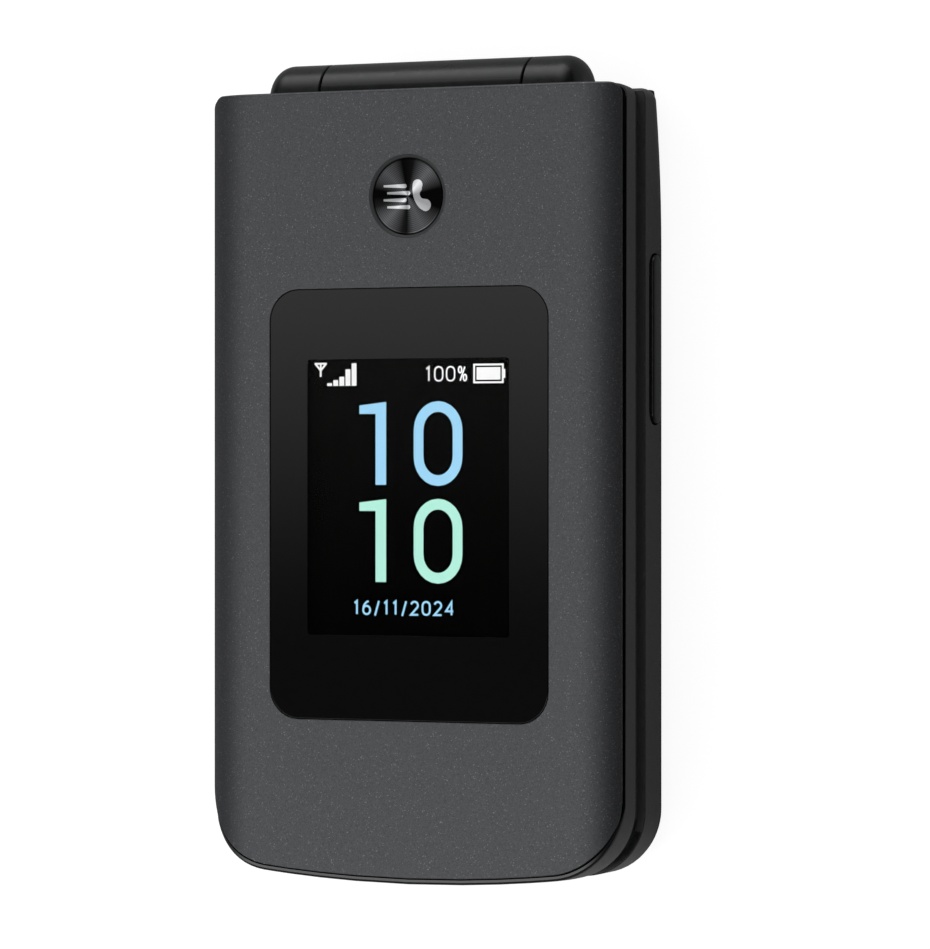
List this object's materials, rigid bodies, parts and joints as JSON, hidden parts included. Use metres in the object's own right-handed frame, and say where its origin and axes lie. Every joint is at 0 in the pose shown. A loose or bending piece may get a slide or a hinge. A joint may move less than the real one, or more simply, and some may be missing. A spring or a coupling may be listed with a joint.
{
  "type": "flip phone",
  "caption": "Folding mobile phone with a hinged lid, outer and inner displays, a pressed keypad and side rocker.",
  "frame": {"origin": "under the middle of the closed phone's bounding box, on its back", "axes": "+X across the width, +Y along the length to the hinge, +Z through the thickness to the outer display"},
  "size_m": [0.0571, 0.1048, 0.0189],
  "materials": {
    "metallic_paint": "fine metallic flake, satin",
    "black_frame": "satin moulded black",
    "black_matte": "fine moulded texture",
    "lens_glass": "polished",
    "display": "display panel",
    "button_metal": "black, spun in circles",
    "ring_metal": "satin black",
    "steel": "plain",
    "board": "solder mask",
    "key_plastic": "soft satin",
    "nav_metal": "satin",
    "rubber": "matte",
    "battery_wrap": "film",
    "film": "polyester sheet",
    "flex": "polyimide",
    "brass": "plain"
  },
  "bodies": {
    "base": {"keypad_housing": "black_frame", "rear_housing": "black_matte", "battery_cover": "black_matte", "battery": "battery_wrap", "main_board": "board", "dome_sheet": "film", "volume_switch": "steel", "speaker": "black_matte", "camera_module": "black_matte", "camera_window": "lens_glass", "flash_window": "film", "microphone": "steel", "vibration_motor": "steel", "usb_port": "steel", "headphone_jack": "black_matte", "sim_holder": "steel", "antenna": "brass", "base_screws": "steel", "hinge_shaft": "steel", "hinge_sleeve": "steel"},
    "lid": {"lid_cover": "metallic_paint", "lid_frame": "black_frame", "lid_bezel": "black_matte", "outer_lens": "lens_glass", "outer_display": "display", "main_lens": "lens_glass", "main_display": "display", "call_ring": "ring_metal", "call_switch": "steel", "lid_board": "board", "earpiece": "black_matte", "earpiece_mesh": "steel", "lid_bumpers": "rubber", "lid_magnet": "steel", "lid_screws": "steel", "hinge_cartridge": "steel", "lid_flex": "flex"},
    "call_button": {"call_button": "button_metal"},
    "volume_rocker": {"volume_rocker": "key_plastic"},
    "nav_ring": {"nav_ring": "nav_metal"},
    "key_1": {"key_1": "key_plastic"},
    "key_2": {"key_2": "key_plastic"},
    "key_3": {"key_3": "key_plastic"},
    "key_4": {"key_4": "key_plastic"},
    "key_5": {"key_5": "key_plastic"},
    "key_6": {"key_6": "key_plastic"},
    "key_7": {"key_7": "key_plastic"},
    "key_8": {"key_8": "key_plastic"},
    "key_9": {"key_9": "key_plastic"},
    "key_star": {"key_star": "key_plastic"},
    "key_0": {"key_0": "key_plastic"},
    "key_hash": {"key_hash": "key_plastic"},
    "left_soft_key": {"left_soft_key": "key_plastic"},
    "right_soft_key": {"right_soft_key": "key_plastic"},
    "send_key": {"send_key": "key_plastic"},
    "end_key": {"end_key": "key_plastic"},
    "clear_key": {"clear_key": "key_plastic"},
    "ok_key": {"ok_key": "key_plastic"}
  },
  "joints": [
    {"name": "lid_hinge", "type": "hinge", "parent": "base", "child": "lid", "pos_m": [0, 0.0476, 0.0106], "axis": [-1, 0, 0], "range_deg": [0, 155]},
    {"name": "call_button_press", "type": "slide", "parent": "lid", "child": "call_button", "axis": [0, 0, -1], "range_m": [0, 0.0003], "stiffness_N_per_m": 1000},
    {"name": "volume_rocker_tilt", "type": "hinge", "parent": "base", "child": "volume_rocker", "pos_m": [0.02735, 0.0166, 0.00535], "axis": [0, 0, 1], "range_deg": [-1.2, 1.2], "stiffness_Nm_per_rad": 0.5},
    {"name": "nav_ring_tilt", "type": "hinge", "parent": "base", "child": "nav_ring", "pos_m": [0, 0.027, 0.00835], "axis": [1, 0, 0], "range_deg": [-1.2, 1.2], "stiffness_Nm_per_rad": 0.5},
    {"name": "key_1_press", "type": "slide", "parent": "base", "child": "key_1", "axis": [0, 0, -1], "range_m": [0, 0.0003], "stiffness_N_per_m": 1000},
    {"name": "key_2_press", "type": "slide", "parent": "base", "child": "key_2", "axis": [0, 0, -1], "range_m": [0, 0.0003], "stiffness_N_per_m": 1000},
    {"name": "key_3_press", "type": "slide", "parent": "base", "child": "key_3", "axis": [0, 0, -1], "range_m": [0, 0.0003], "stiffness_N_per_m": 1000},
    {"name": "key_4_press", "type": "slide", "parent": "base", "child": "key_4", "axis": [0, 0, -1], "range_m": [0, 0.0003], "stiffness_N_per_m": 1000},
    {"name": "key_5_press", "type": "slide", "parent": "base", "child": "key_5", "axis": [0, 0, -1], "range_m": [0, 0.0003], "stiffness_N_per_m": 1000},
    {"name": "key_6_press", "type": "slide", "parent": "base", "child": "key_6", "axis": [0, 0, -1], "range_m": [0, 0.0003], "stiffness_N_per_m": 1000},
    {"name": "key_7_press", "type": "slide", "parent": "base", "child": "key_7", "axis": [0, 0, -1], "range_m": [0, 0.0003], "stiffness_N_per_m": 1000},
    {"name": "key_8_press", "type": "slide", "parent": "base", "child": "key_8", "axis": [0, 0, -1], "range_m": [0, 0.0003], "stiffness_N_per_m": 1000},
    {"name": "key_9_press", "type": "slide", "parent": "base", "child": "key_9", "axis": [0, 0, -1], "range_m": [0, 0.0003], "stiffness_N_per_m": 1000},
    {"name": "key_star_press", "type": "slide", "parent": "base", "child": "key_star", "axis": [0, 0, -1], "range_m": [0, 0.0003], "stiffness_N_per_m": 1000},
    {"name": "key_0_press", "type": "slide", "parent": "base", "child": "key_0", "axis": [0, 0, -1], "range_m": [0, 0.0003], "stiffness_N_per_m": 1000},
    {"name": "key_hash_press", "type": "slide", "parent": "base", "child": "key_hash", "axis": [0, 0, -1], "range_m": [0, 0.0003], "stiffness_N_per_m": 1000},
    {"name": "left_soft_key_press", "type": "slide", "parent": "base", "child": "left_soft_key", "axis": [0, 0, -1], "range_m": [0, 0.0003], "stiffness_N_per_m": 1000},
    {"name": "right_soft_key_press", "type": "slide", "parent": "base", "child": "right_soft_key", "axis": [0, 0, -1], "range_m": [0, 0.0003], "stiffness_N_per_m": 1000},
    {"name": "send_key_press", "type": "slide", "parent": "base", "child": "send_key", "axis": [0, 0, -1], "range_m": [0, 0.0003], "stiffness_N_per_m": 1000},
    {"name": "end_key_press", "type": "slide", "parent": "base", "child": "end_key", "axis": [0, 0, -1], "range_m": [0, 0.0003], "stiffness_N_per_m": 1000},
    {"name": "clear_key_press", "type": "slide", "parent": "base", "child": "clear_key", "axis": [0, 0, -1], "range_m": [0, 0.0003], "stiffness_N_per_m": 1000},
    {"name": "ok_key_press", "type": "slide", "parent": "base", "child": "ok_key", "axis": [0, 0, -1], "range_m": [0, 0.0003], "stiffness_N_per_m": 1000}
  ]
}
